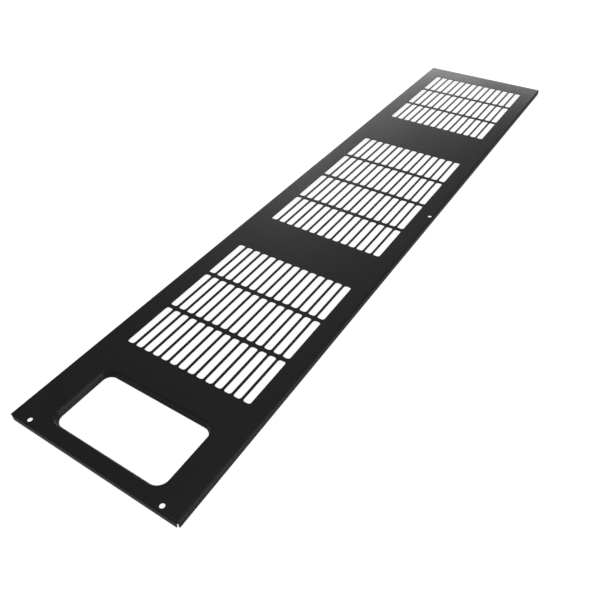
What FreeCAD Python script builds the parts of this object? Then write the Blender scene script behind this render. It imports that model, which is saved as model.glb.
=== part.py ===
import FreeCAD, Part
import os
import re

import Sketcher

# Front base cover: one sheet of steel, punched with vent slots, a window and screw holes,
# with a flange folded down along each edge and a sloped rim drawn down around the window.
# The cover lies face up. X runs across it, Y along it away from the window, Z up.
# The origin is the middle of the rectangle that the flanges stand on.

# Driving dimensions, in millimetres and degrees: name, value and what it measures.
DIMENSIONS = [
    ("overall_width", "178.6", "across the cover, outside the long flanges"),
    ("overall_length", "856", "along the cover, outside the short flanges"),
    ("flange_height", "7", "from the face down to the flange edges"),
    ("sheet_thickness", "1", "steel sheet"),
    ("inner_bend_radius", "0.8", "inside of each flange bend"),
    ("short_flange_gap", "2.2", "from each short flange's end to the side of the cover"),
    ("long_flange_gap", "1.2", "from each long flange's end to the end of the cover"),
    ("feature_offset", "1.3", "slots and window, right of the middle line"),
    ("window_width", "119", "across the cover, where rim and face would meet"),
    ("window_length", "65.4", "along the cover, where rim and face would meet"),
    ("window_corner_radius", "10.4", "in the same plane"),
    ("window_margin", "13.3", "from the near edge to the window"),
    ("rim_slope_angle", "20", "lean of the rim from upright"),
    ("rim_roll_radius", "0.8", "inside of the bend from face to rim"),
    ("rim_clearance", "0.8", "from the rim's lower edge to the flange edges"),
    ("slot_width", "7.6", "one vent slot, across the cover"),
    ("slot_length", "54.7", "one vent slot, along the cover"),
    ("slot_corner_radius", "2.4", "rounding at the slot ends"),
    ("slot_bridge", "2.4", "metal left between two slots of a row"),
    ("row_bridge", "4.1", "metal left between two rows"),
    ("side_margin", "19", "least blank strip beside the slots"),
    ("near_band", "32.4", "blank face from the window to the near vents"),
    ("middle_band", "59.1", "blank face from the near to the middle vents"),
    ("far_band", "60", "least blank face from the middle to the far vents"),
    ("far_margin", "32", "blank face from the far vents to the far edge"),
    ("screw_hole_diameter", "4.5", "clear hole for a small machine screw"),
    ("end_hole_inset", "4.9", "near screw holes, from the near edge"),
    ("end_hole_side_inset", "18.7", "near screw holes, from the long edges"),
    ("side_hole_inset", "4.2", "side screw hole, from the right edge"),
    ("side_hole_station", "441", "side screw hole, from the near edge"),
]

NEAR_ROWS = 3
FAR_ROWS = 3

# Sizes that follow from the driving ones. The middle vents take the rows that fit between
# the near and the far vents, and every row takes the slots that fit between the sides.
bend_radius = "(inner_bend_radius + sheet_thickness)"
middle_line = "(overall_width / 2 + feature_offset)"
rim_wall = "(sheet_thickness / cos(rim_slope_angle * 1deg))"
rim_depth = "(flange_height - rim_clearance)"
slot_pitch = "(slot_width + slot_bridge)"
row_pitch = "(slot_length + row_bridge)"
slots_room = "(overall_width - 2 * side_margin + slot_bridge)"
slots_in_row = f"floor({slots_room} / {slot_pitch})"
first_slot = f"({middle_line} - ({slots_in_row} * {slot_pitch} - slot_bridge) / 2)"
near_vents = "(window_margin + window_length + near_band)"
middle_vents = f"({near_vents} + {NEAR_ROWS} * {row_pitch} - row_bridge + middle_band)"
far_vents = f"(overall_length - far_margin - {FAR_ROWS} * {row_pitch} + row_bridge)"
middle_room = f"({far_vents} - far_band - {middle_vents} + row_bridge)"
middle_rows = f"floor({middle_room} / {row_pitch})"


def formula(text):
    """Point each dimension name in an expression at its cell of the sheet."""
    return re.sub(r"[a-z]+(?:_[a-z]+)+", lambda name: "Dimensions." + name.group(), text)


def present(item, text):
    """The present value of an expression."""
    return float(item.evalExpression(formula(text)))


def bind(item, name, text):
    """Bind a property of a feature to an expression."""
    item.setExpression(name, formula(text))


def make_sheet(doc):
    """Write the driving dimensions into the document's spreadsheet."""
    sheet = doc.addObject("Spreadsheet::Sheet", "Dimensions")
    for row, (alias, value, meaning) in enumerate(DIMENSIONS, start=1):
        sheet.set(f"A{row}", meaning)
        sheet.set(f"B{row}", value)
        sheet.setAlias(f"B{row}", alias)
    doc.recompute()


def origin_item(body, role):
    """One of the body's own origin planes or axes."""
    return next(item for item in body.Origin.OriginFeatures if item.Role == role)


def new_sketch(body, name, plane):
    """Start a sketch on one of the body's origin planes."""
    sketch = body.newObject("Sketcher::SketchObject", name)
    sketch.AttachmentSupport = [(origin_item(body, plane), "")]
    sketch.MapMode = "FlatFace"
    return sketch


def new_face_sketch(body, name):
    """Start a sketch on the cover's face, measured from the face's near left corner."""
    sketch = new_sketch(body, name, "XY_Plane")
    bind(sketch, ".AttachmentOffset.Base.x", "-overall_width / 2")
    bind(sketch, ".AttachmentOffset.Base.y", "-overall_length / 2")
    bind(sketch, ".AttachmentOffset.Base.z", "flange_height")
    return sketch


def tie(sketch, kind, *places):
    """Add a constraint without a size to a sketch."""
    sketch.addConstraint(Sketcher.Constraint(kind, *places))


def limit(sketch, text, kind, *places):
    """Add a constraint whose size is bound to an expression."""
    constraint = Sketcher.Constraint(kind, *places, present(sketch, text))
    index = sketch.addConstraint(constraint)
    bind(sketch, f"Constraints[{index}]", text)


def add_outline(sketch, corners):
    """Draw a closed outline through corners (x, y, radius), its lines level or upright.

    A corner with a radius is rounded by an arc. Returns the lines and the arcs by index.
    """
    points = [FreeCAD.Vector(x, y, 0) for x, y, _ in corners]
    radii = [radius for _, _, radius in corners]
    count = len(corners)
    arrivals = []
    departures = []
    for i in range(count):
        arrivals.append(points[i] + (points[i - 1] - points[i]).normalize() * radii[i])
        departures.append(points[i] + (points[(i + 1) % count] - points[i]).normalize() * radii[i])
    lines = []
    for i in range(count):
        line = Part.LineSegment(departures[i], arrivals[(i + 1) % count])
        lines.append(sketch.addGeometry(line))
        run = line.EndPoint - line.StartPoint
        tie(sketch, "Horizontal" if abs(run.x) > abs(run.y) else "Vertical", lines[i])
    arcs = []
    for i in range(count):
        if radii[i] == 0:
            tie(sketch, "Coincident", lines[i - 1], 2, lines[i], 1)
            continue
        centre = arrivals[i] + departures[i] - points[i]
        middle = centre + (points[i] - centre).normalize() * radii[i]
        arc = sketch.addGeometry(Part.Arc(arrivals[i], middle, departures[i]))
        turn = (arrivals[i] - centre).cross(departures[i] - centre).z
        first, last = (1, 2) if turn > 0 else (2, 1)
        tie(sketch, "Tangent", lines[i - 1], 2, arc, first)
        tie(sketch, "Tangent", arc, last, lines[i], 1)
        arcs.append(arc)
    return lines, arcs


def add_rounded_rectangle(sketch, left, near, width, length, radius):
    """Draw a rectangle with rounded corners, each size given as an expression."""
    x, y = present(sketch, left), present(sketch, near)
    across, along = present(sketch, width), present(sketch, length)
    rounding = present(sketch, radius)
    corners = [(x, y), (x + across, y), (x + across, y + along), (x, y + along)]
    lines, arcs = add_outline(sketch, [corner + (rounding,) for corner in corners])
    near_line, right_line, far_line, left_line = lines
    limit(sketch, left, "DistanceX", -1, 1, left_line, 2)
    limit(sketch, near, "DistanceY", -1, 1, near_line, 1)
    limit(sketch, width, "DistanceX", left_line, 2, right_line, 1)
    limit(sketch, length, "DistanceY", near_line, 1, far_line, 2)
    limit(sketch, radius, "Radius", arcs[0])
    for arc in arcs[1:]:
        tie(sketch, "Equal", arcs[0], arc)
    return arcs


def cut_corner(sketch, arc):
    """Keep a corner's arc as a guide, and draw three equal chords of it as the outline."""
    guide = sketch.Geometry[arc]
    step = (guide.LastParameter - guide.FirstParameter) / 3
    marks = [guide.value(guide.FirstParameter + i * step) for i in range(4)]
    chords = []
    for start, end in zip(marks, marks[1:]):
        chords.append(sketch.addGeometry(Part.LineSegment(start, end)))
    sketch.setConstruction(arc, True)
    tie(sketch, "Coincident", arc, 1, chords[0], 1)
    tie(sketch, "Coincident", arc, 2, chords[2], 2)
    for before, after in zip(chords, chords[1:]):
        tie(sketch, "Coincident", before, 2, after, 1)
        tie(sketch, "PointOnObject", before, 2, arc)
        tie(sketch, "Equal", before, after)


def add_middle_rectangle(sketch, width, length):
    """Draw a rectangle about the origin, each size given as an expression."""
    side, end = present(sketch, width) / 2, present(sketch, length) / 2
    corners = [(-side, -end, 0), (side, -end, 0), (side, end, 0), (-side, end, 0)]
    near_line, right_line, far_line, _ = add_outline(sketch, corners)[0]
    tie(sketch, "Symmetric", near_line, 1, far_line, 1, -1, 1)
    limit(sketch, width, "DistanceX", near_line, 1, near_line, 2)
    limit(sketch, length, "DistanceY", right_line, 1, right_line, 2)


def level_edges(body, height, left, near, width, length):
    """Names of the edges at a height that lie within a rectangle of the face.

    The rectangle's place is measured from the face's near left corner.
    """
    x = present(body, f"{left} - overall_width / 2")
    y = present(body, f"{near} - overall_length / 2")
    z = present(body, height)
    region = FreeCAD.BoundBox(x, y, z, x + present(body, width), y + present(body, length), z)
    region.enlarge(0.01)
    edges = body.Tip.Shape.Edges
    return [f"Edge{i}" for i, edge in enumerate(edges, start=1) if region.isInside(edge.BoundBox)]


def add_folded_sheet(body):
    """Face and flanges as one sheet, its bends closed where they meet at the corners."""
    sketch = new_sketch(body, "cover_outline", "XY_Plane")
    add_middle_rectangle(sketch, "overall_width", "overall_length")
    block = body.newObject("PartDesign::Pad", "cover_block")
    block.Profile = sketch
    bind(block, "Length", "flange_height")
    body.Document.recompute()
    faces = body.Tip.Shape.Faces
    underside = next(f"Face{i}" for i, face in enumerate(faces, start=1) if face.BoundBox.ZMax < 0.01)
    shell = body.newObject("PartDesign::Thickness", "sheet")
    shell.Base = (shell.BaseFeature, [underside])
    shell.Join = "Intersection"
    shell.Reversed = True
    bind(shell, "Value", "sheet_thickness")
    body.Document.recompute()
    for name, height, radius in (
        ("outer_bends", "flange_height", bend_radius),
        ("inner_bends", "flange_height - sheet_thickness", "inner_bend_radius"),
    ):
        edges = level_edges(body, height, "0", "0", "overall_width", "overall_length")
        bends = body.newObject("PartDesign::Fillet", name)
        bends.Base = (bends.BaseFeature, edges)
        bind(bends, "Radius", radius)
        body.Document.recompute()


def add_corner_slits(body):
    """Part the flanges from each other at the corners, up to the underside of the face."""
    sketch = new_sketch(body, "corner_slit_outlines", "XY_Plane")
    side = present(sketch, "overall_width / 2")
    end = present(sketch, "overall_length / 2")
    across = present(sketch, "short_flange_gap")
    along = present(sketch, "long_flange_gap")
    for left in (-side, side - across):
        right = left + across
        lines, _ = add_outline(
            sketch, [(left, -end, 0), (right, -end, 0), (right, along - end, 0), (left, along - end, 0)]
        )
        near_line, right_line, _, left_line = lines
        outer_line = left_line if left < 0 else right_line
        outer_end = 2 if left < 0 else 1
        sign = "-1" if left < 0 else "1"
        limit(sketch, f"{sign} * overall_width / 2", "DistanceX", -1, 1, outer_line, outer_end)
        limit(sketch, "-overall_length / 2", "DistanceY", -1, 1, outer_line, outer_end)
        limit(sketch, "short_flange_gap", "DistanceX", near_line, 1, near_line, 2)
        limit(sketch, "long_flange_gap", "DistanceY", right_line, 1, right_line, 2)
    slits = body.newObject("PartDesign::Pocket", "near_corner_slits")
    slits.Profile = sketch
    slits.Reversed = True
    bind(slits, "Length", "flange_height - sheet_thickness")
    all_slits = body.newObject("PartDesign::Mirrored", "corner_slits")
    all_slits.Originals = [slits]
    all_slits.MirrorPlane = (origin_item(body, "XZ_Plane"), [""])
    body.Tip = all_slits


def add_window(body):
    """Draw the rim down from the face, open the window through it and round both bends."""
    left = f"({middle_line} - window_width / 2)"
    blank = new_face_sketch(body, "rim_blank_outline")
    add_rounded_rectangle(
        blank,
        f"{left} - {rim_wall}",
        f"window_margin - {rim_wall}",
        f"window_width + 2 * {rim_wall}",
        f"window_length + 2 * {rim_wall}",
        f"window_corner_radius + {rim_wall}",
    )
    rim = body.newObject("PartDesign::Pad", "rim_blank")
    rim.Profile = blank
    rim.Reversed = True
    bind(rim, "Length", rim_depth)
    bind(rim, "TaperAngle", "-rim_slope_angle * 1deg")
    opening = new_face_sketch(body, "window_outline")
    add_rounded_rectangle(
        opening, left, "window_margin", "window_width", "window_length", "window_corner_radius"
    )
    window = body.newObject("PartDesign::Pocket", "window")
    window.Profile = opening
    bind(window, "Length", "flange_height")
    bind(window, "TaperAngle", "-rim_slope_angle * 1deg")
    body.Document.recompute()
    for name, height, reach, radius in (
        ("rim_roll", "flange_height", "0", "rim_roll_radius + sheet_thickness"),
        ("rim_root", "flange_height - sheet_thickness", rim_wall, "rim_roll_radius"),
    ):
        edges = level_edges(
            body,
            height,
            f"{left} - {reach}",
            f"window_margin - {reach}",
            f"window_width + 2 * {reach}",
            f"window_length + 2 * {reach}",
        )
        roll = body.newObject("PartDesign::Fillet", name)
        roll.Base = (roll.BaseFeature, edges)
        bind(roll, "Radius", radius)
        body.Document.recompute()


def add_screw_holes(body):
    """Two holes by the near edge and one by the right edge."""
    sketch = new_face_sketch(body, "screw_hole_centres")
    radius = present(sketch, "screw_hole_diameter / 2")
    circles = []
    for across, along in (
        ("end_hole_side_inset", "end_hole_inset"),
        ("overall_width - end_hole_side_inset", "end_hole_inset"),
        ("overall_width - side_hole_inset", "side_hole_station"),
    ):
        centre = FreeCAD.Vector(present(sketch, across), present(sketch, along), 0)
        circle = sketch.addGeometry(Part.Circle(centre, FreeCAD.Vector(0, 0, 1), radius))
        limit(sketch, across, "DistanceX", -1, 1, circle, 3)
        limit(sketch, along, "DistanceY", -1, 1, circle, 3)
        circles.append(circle)
    limit(sketch, "screw_hole_diameter", "Diameter", circles[0])
    for circle in circles[1:]:
        tie(sketch, "Equal", circles[0], circle)
    body.Document.recompute()
    holes = body.newObject("PartDesign::Hole", "screw_holes")
    holes.Profile = sketch
    holes.DepthType = "ThroughAll"
    bind(holes, "Diameter", "screw_hole_diameter")


def add_punches(body, name, start, rows):
    """Make the punch for one vent slot, repeated across the cover and along it."""
    sketch = new_face_sketch(body, f"{name}_slot_outline")
    arcs = add_rounded_rectangle(
        sketch, first_slot, start, "slot_width", "slot_length", "slot_corner_radius"
    )
    for arc in arcs:
        cut_corner(sketch, arc)
    punch = body.newObject("PartDesign::Pad", f"{name}_punch")
    punch.Profile = sketch
    punch.SideType = "Symmetric"
    bind(punch, "Length", "4 * sheet_thickness")
    group = body.newObject("PartDesign::LinearPattern", f"{name}_punches")
    group.Originals = [punch]
    group.Direction = (origin_item(body, "X_Axis"), [""])
    bind(group, "Length", f"({slots_in_row} - 1) * {slot_pitch}")
    bind(group, "Occurrences", slots_in_row)
    group.Direction2 = (origin_item(body, "Y_Axis"), [""])
    bind(group, "Length2", f"({rows} - 1) * {row_pitch}")
    bind(group, "Occurrences2", rows)
    body.Tip = group


def add_vents(body):
    """Cut all the vent slots at one stroke, with a body that is made of their punches."""
    punches = body.Document.addObject("PartDesign::Body", "vent_punches")
    add_punches(punches, "near", near_vents, f"{NEAR_ROWS}")
    add_punches(punches, "middle", middle_vents, middle_rows)
    add_punches(punches, "far", far_vents, f"{FAR_ROWS}")
    vents = body.newObject("PartDesign::Boolean", "vents")
    vents.Type = "Cut"
    vents.setObjects([punches])
    body.Tip = vents


def make_cover(doc):
    """Build the cover as one body, in the order in which the real sheet gets its form."""
    body = doc.addObject("PartDesign::Body", "cover_panel")
    body.Label = "cover_panel"
    body.Placement = FreeCAD.Placement()
    add_folded_sheet(body)
    add_corner_slits(body)
    add_window(body)
    add_screw_holes(body)
    add_vents(body)
    return body


def check(doc, bodies):
    """Stop if a feature failed or a body isn't one sound solid."""
    for item in doc.Objects:
        if "Invalid" in item.State or "Error" in item.State:
            raise RuntimeError(f"{item.Name} failed: {item.getStatusString()}")
    for body in bodies:
        shape = body.Shape
        if shape.isNull() or not shape.isValid() or len(shape.Solids) != 1:
            raise RuntimeError(f"{body.Label} isn't one sound solid")


document = FreeCAD.newDocument("front_base_cover")
make_sheet(document)
cover = make_cover(document)
document.recompute()
check(document, [cover])
os.makedirs("parts", exist_ok=True)
cover.Shape.exportStep(f"parts/{cover.Label}.step")
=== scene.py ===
import math

import bmesh
import bpy
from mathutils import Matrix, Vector


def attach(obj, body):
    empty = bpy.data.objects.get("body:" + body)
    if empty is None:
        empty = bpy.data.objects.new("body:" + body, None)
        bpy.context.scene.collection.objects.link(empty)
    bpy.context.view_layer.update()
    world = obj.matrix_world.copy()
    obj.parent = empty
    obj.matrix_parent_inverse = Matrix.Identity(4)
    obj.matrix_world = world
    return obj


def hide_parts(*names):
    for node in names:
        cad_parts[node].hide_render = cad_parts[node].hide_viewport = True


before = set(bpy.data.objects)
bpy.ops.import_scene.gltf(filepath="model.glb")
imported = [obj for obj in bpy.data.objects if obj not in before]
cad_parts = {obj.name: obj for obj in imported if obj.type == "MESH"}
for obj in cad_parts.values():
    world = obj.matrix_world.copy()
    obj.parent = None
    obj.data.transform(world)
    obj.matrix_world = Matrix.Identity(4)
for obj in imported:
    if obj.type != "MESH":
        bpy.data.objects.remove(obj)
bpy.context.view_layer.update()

# The cover is one sheet of 1 mm steel, punched with vent slots, a window and screw holes,
# its edges folded down and the window's rim drawn down. The sheet is the CAD node's own
# form, merged so that its bends shade smoothly while its punched edges stay crisp.
MM = 0.001
MERGE_REACH = 0.002 * MM
SMOOTH_BEND = math.radians(25)


def place_in_scene(name, data):
    """Add an object with its data to the scene."""
    thing = bpy.data.objects.new(name, data)
    bpy.context.scene.collection.objects.link(thing)
    return thing


cover = place_in_scene("cover_sheet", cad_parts["cover_panel"].data.copy())
sheet = bmesh.new()
sheet.from_mesh(cover.data)
bmesh.ops.remove_doubles(sheet, verts=sheet.verts, dist=MERGE_REACH)
for face in sheet.faces:
    face.smooth = True
for edge in sheet.edges:
    edge.smooth = edge.calc_face_angle(math.pi) < SMOOTH_BEND
sheet.to_mesh(cover.data)
sheet.free()

# Black polyester powder coat with a fine texture, sprayed on dry and baked: a soft satin
# gloss, broken up by a fine grain, and a slight mottle where the coat lies thicker.
# The real grain is about 0.3 mm. It is drawn at 1.4 mm, since finer wouldn't show.
GRAIN = 1.4 * MM
GRAIN_DEPTH = 0.12 * MM
GRAIN_STRENGTH = 0.45
GRAIN_LOW, GRAIN_HIGH = 0.3, 0.7
GLOSSIEST, DULLEST = 0.31, 0.41
MOTTLE = 14 * MM
THIN_COAT = "#151516"
THICK_COAT = "#1d1d1e"
RESIN_IOR = 1.5
# A Mix node's number, vector and colour sockets share their names, so its colour ones
# are taken by their place.
MIX_FIRST, MIX_SECOND, MIX_RESULT = 6, 7, 2


def srgb(code):
    """Turn an sRGB hex colour into the linear values that a shader takes."""
    channels = [int(code[i:i + 2], 16) / 255 for i in (1, 3, 5)]
    return [c / 12.92 if c <= 0.04045 else ((c + 0.055) / 1.055) ** 2.4 for c in channels] + [1]


def bare_material(name):
    """Start a material whose node tree is empty."""
    material = bpy.data.materials.new(name)
    material.use_nodes = True
    material.node_tree.nodes.clear()
    return material


def add_node(tree, kind, inputs, **settings):
    """Add a node with its settings, and give each input a plain value or another's output."""
    new = tree.nodes.new(kind)
    for name, value in settings.items():
        setattr(new, name, value)
    for name, value in inputs.items():
        if isinstance(value, bpy.types.NodeSocket):
            tree.links.new(value, new.inputs[name])
        else:
            new.inputs[name].default_value = value
    return new


coat = bare_material("black_fine_texture_powder_coat")
tree = coat.node_tree
place = add_node(tree, "ShaderNodeTexCoord", {})
grain = add_node(
    tree, "ShaderNodeTexNoise",
    {"Vector": place.outputs["Object"], "Scale": 1 / GRAIN, "Detail": 2, "Roughness": 0.6},
)
mottle = add_node(
    tree, "ShaderNodeTexNoise",
    {"Vector": place.outputs["Object"], "Scale": 1 / MOTTLE, "Detail": 3, "Roughness": 0.5},
)
tone = add_node(
    tree, "ShaderNodeMix",
    {
        "Factor": mottle.outputs["Fac"],
        MIX_FIRST: srgb(THIN_COAT),
        MIX_SECOND: srgb(THICK_COAT),
    },
    data_type="RGBA",
)
relief = add_node(
    tree, "ShaderNodeBump",
    {"Height": grain.outputs["Fac"], "Strength": GRAIN_STRENGTH, "Distance": GRAIN_DEPTH},
)
gloss = add_node(
    tree, "ShaderNodeMapRange",
    {
        "Value": grain.outputs["Fac"],
        "From Min": GRAIN_LOW,
        "From Max": GRAIN_HIGH,
        "To Min": GLOSSIEST,
        "To Max": DULLEST,
    },
)
shader = add_node(
    tree, "ShaderNodeBsdfPrincipled",
    {
        "Base Color": tone.outputs[MIX_RESULT],
        "Roughness": gloss.outputs["Result"],
        "IOR": RESIN_IOR,
        "Normal": relief.outputs["Normal"],
    },
)
add_node(tree, "ShaderNodeOutputMaterial", {"Surface": shader.outputs["BSDF"]})
cover.data.materials.clear()
cover.data.materials.append(coat)

# The coat flows round every punched edge as it bakes and eases it a little. The bevel
# gives that, and the weighted normals keep the flat face flat beside it.
COAT_EDGE = 0.15 * MM
COAT_EDGE_STEPS = 2
PUNCHED_EDGE = math.radians(50)

round_over = cover.modifiers.new("coat_edge", "BEVEL")
round_over.width = COAT_EDGE
round_over.segments = COAT_EDGE_STEPS
round_over.limit_method = "ANGLE"
round_over.angle_limit = PUNCHED_EDGE
round_over.miter_outer = "MITER_SHARP"
level = cover.modifiers.new("level_faces", "WEIGHTED_NORMAL")
level.mode = "FACE_AREA"
level.keep_sharp = True
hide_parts("cover_panel")
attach(cover, "root")

# The cover lies on a plain white light table: opal acrylic, lit from below, so that the
# ground stays an even white and shows white through every slot. The black coat doesn't
# mirror it, as on a table that is lit for the background alone.
TABLE_REACH = 6
TABLE_GLOW = 0.94
OPAL_ACRYLIC = "#959595"
OPAL_ROUGHNESS = 0.9
WHITE = "#ffffff"

table_mesh = bpy.data.meshes.new("light_table")
table_top = bmesh.new()
bmesh.ops.create_grid(table_top, x_segments=1, y_segments=1, size=TABLE_REACH)
table_top.to_mesh(table_mesh)
table_top.free()
floor = place_in_scene("light_table", table_mesh)
opal = bare_material("white_light_table")
glow = add_node(
    opal.node_tree, "ShaderNodeBsdfPrincipled",
    {
        "Base Color": srgb(OPAL_ACRYLIC),
        "Roughness": OPAL_ROUGHNESS,
        "Emission Color": srgb(WHITE),
        "Emission Strength": TABLE_GLOW,
    },
)
add_node(opal.node_tree, "ShaderNodeOutputMaterial", {"Surface": glow.outputs["BSDF"]})
table_mesh.materials.append(opal)
floor.visible_glossy = False

# A white cloth tent closes the view above the table, as a dome that meets it all round.
# It is seen by the camera alone, so it neither lights the cover nor shows in the coat.
TENT_RADIUS = 5.9
TENT_GORES = 48
TENT_RINGS = 24
CLOTH_GLOW = 1.0

tent_mesh = bpy.data.meshes.new("light_tent")
dome = bmesh.new()
bmesh.ops.create_uvsphere(
    dome, u_segments=TENT_GORES, v_segments=TENT_RINGS, radius=TENT_RADIUS
)
bmesh.ops.bisect_plane(
    dome,
    geom=dome.verts[:] + dome.edges[:] + dome.faces[:],
    plane_co=(0, 0, 0),
    plane_no=(0, 0, 1),
    clear_inner=True,
)
bmesh.ops.reverse_faces(dome, faces=dome.faces)
dome.to_mesh(tent_mesh)
dome.free()
tent = place_in_scene("light_tent", tent_mesh)
cloth = bare_material("white_tent_cloth")
cloth_glow = add_node(
    cloth.node_tree, "ShaderNodeEmission", {"Color": srgb(WHITE), "Strength": CLOTH_GLOW}
)
add_node(
    cloth.node_tree, "ShaderNodeOutputMaterial", {"Surface": cloth_glow.outputs["Emission"]}
)
tent_mesh.materials.append(cloth)
tent.visible_diffuse = False
tent.visible_glossy = False
tent.visible_shadow = False

# Soft panels stand low in an arc round the far left corner, brightest at the corner itself,
# and a long low one lights the far edge. One more stands low on the right, and a larger one
# hangs overhead. Each is given by its place, its width and height in metres and its power
# in watts.
SOFTBOXES = [
    ("left_panel", (-0.8, 0.6, 0.2), (0.2, 0.2), 0.74),
    ("corner_panel", (-0.7, 0.9, 0.2), (0.2, 0.2), 1.6),
    ("far_left_panel", (-0.45, 0.9, 0.15), (0.2, 0.2), 0.46),
    ("far_panel", (-0.25, 0.9, 0.15), (0.2, 0.2), 0.13),
    ("far_edge_strip", (-0.04, 0.53, 0.045), (0.3, 0.04), 0.07),
    ("right_panel", (0.95, -0.05, 0.1), (0.6, 0.15), 1.8),
    ("top_softbox", (0.0, 0.08, 2.2), (0.9, 0.9), 3.3),
]
SOFTBOX_AIM = Vector((0, 0.2, 0))
DAYLIGHT_TUBE = srgb("#fcfbff")[:3]

for name, position, (width, height), power in SOFTBOXES:
    lamp = bpy.data.lights.new(name, "AREA")
    lamp.shape = "RECTANGLE"
    lamp.size = width
    lamp.size_y = height
    lamp.energy = power
    lamp.color = DAYLIGHT_TUBE
    softbox = place_in_scene(name, lamp)
    softbox.location = position
    facing = (SOFTBOX_AIM - softbox.location).to_track_quat("-Z", "Y")
    softbox.rotation_euler = facing.to_euler()
    softbox.visible_camera = False

# The studio round the table is dim, so the coat's blacks stay deep.
STUDIO_LIGHT = 0.22

world = bpy.data.worlds.new("studio")
world.use_nodes = True
background = world.node_tree.nodes["Background"]
background.inputs["Color"].default_value = srgb(WHITE)
background.inputs["Strength"].default_value = STUDIO_LIGHT
bpy.context.scene.world = world
bpy.context.scene.view_settings.view_transform = "Standard"

# The camera stands where the photograph was taken from: to the right of the near end, well
# above the cover. Its place and lens were fitted to the slots in the photograph. The place
# is in metres, the turn in degrees, and the lens and sensor in millimetres.
CAMERA_PLACE = (0.27638, -0.55826, 0.40342)
CAMERA_TURN = (48.1136, 0.4516, 32.5029)
LENS = 36.585
SENSOR_WIDTH = 36

eye = bpy.data.cameras.new("camera")
eye.sensor_fit = "HORIZONTAL"
eye.sensor_width = SENSOR_WIDTH
eye.lens = LENS
camera = place_in_scene("camera", eye)
camera.location = CAMERA_PLACE
camera.rotation_euler = [math.radians(angle) for angle in CAMERA_TURN]
bpy.context.scene.camera = camera
